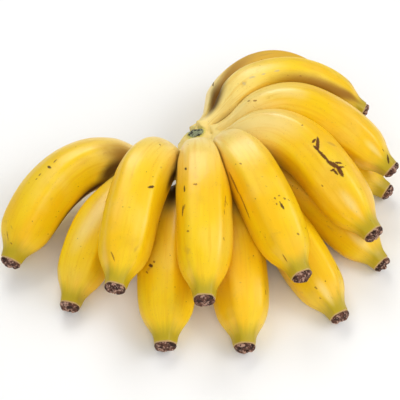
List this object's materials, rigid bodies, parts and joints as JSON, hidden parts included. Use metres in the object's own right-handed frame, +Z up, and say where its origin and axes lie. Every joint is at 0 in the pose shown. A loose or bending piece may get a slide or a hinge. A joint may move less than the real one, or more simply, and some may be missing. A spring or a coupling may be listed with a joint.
{
  "type": "hand of apple bananas",
  "caption": "Hand of ripe apple bananas: short plump fingers in two rows fan round a small cut crown, each with a dried flower end, lying on its lower row.",
  "frame": {"origin": "middle of the bounding box at the surface that the hand lies on", "axes": "+Z up; +X to the right of the picture, across the fan; +Y away from the camera, so the middle fingers point to -Y"},
  "size_m": [0.2648, 0.2436, 0.0754],
  "materials": {
    "peel": "ripe yellow banana peel, waxy satin, with small brown flecks and olive necks",
    "crown": "fibrous green-grey cut crown, matte",
    "flower_end": "dried, nearly black flower remnant, matte"
  },
  "bodies": {
    "root": {"crown": "crown", "upper_finger_1": "peel", "upper_flower_end_1": "flower_end", "upper_finger_2": "peel", "upper_flower_end_2": "flower_end", "upper_finger_3": "peel", "upper_flower_end_3": "flower_end", "upper_finger_4": "peel", "upper_flower_end_4": "flower_end", "upper_finger_5": "peel", "upper_flower_end_5": "flower_end", "upper_finger_6": "peel", "upper_flower_end_6": "flower_end", "upper_finger_7": "peel", "upper_flower_end_7": "flower_end", "lower_finger_1": "peel", "lower_flower_end_1": "flower_end", "lower_finger_2": "peel", "lower_flower_end_2": "flower_end", "lower_finger_3": "peel", "lower_flower_end_3": "flower_end", "lower_finger_4": "peel", "lower_flower_end_4": "flower_end", "lower_finger_5": "peel", "lower_flower_end_5": "flower_end", "lower_finger_6": "peel", "lower_flower_end_6": "flower_end", "lower_finger_7": "peel", "lower_flower_end_7": "flower_end"}
  },
  "joints": []
}
